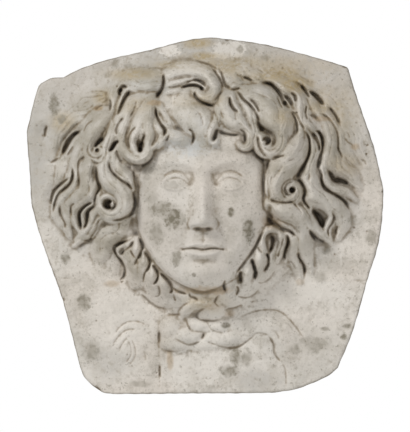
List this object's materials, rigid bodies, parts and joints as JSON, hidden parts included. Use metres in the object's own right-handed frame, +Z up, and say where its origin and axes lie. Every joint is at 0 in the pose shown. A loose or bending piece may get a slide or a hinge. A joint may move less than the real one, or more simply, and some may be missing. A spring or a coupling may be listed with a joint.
{
  "type": "relief plaque",
  "caption": "Flat-backed marble wall plaque with a frontal curly-haired head in high relief above a knotted ribbon, with worn, chipped edges.",
  "frame": {"origin": "middle of the flat back, on the back face", "axes": "+Y out of the flat back into the wall, so the carving faces -Y; +Z up; +X to the right of a person who faces the carving"},
  "size_m": [0.536, 0.1432, 0.5359],
  "materials": {
    "marble": "matt weathered marble, stained warm grey"
  },
  "bodies": {
    "root": {"relief_plaque": "marble"}
  },
  "joints": []
}
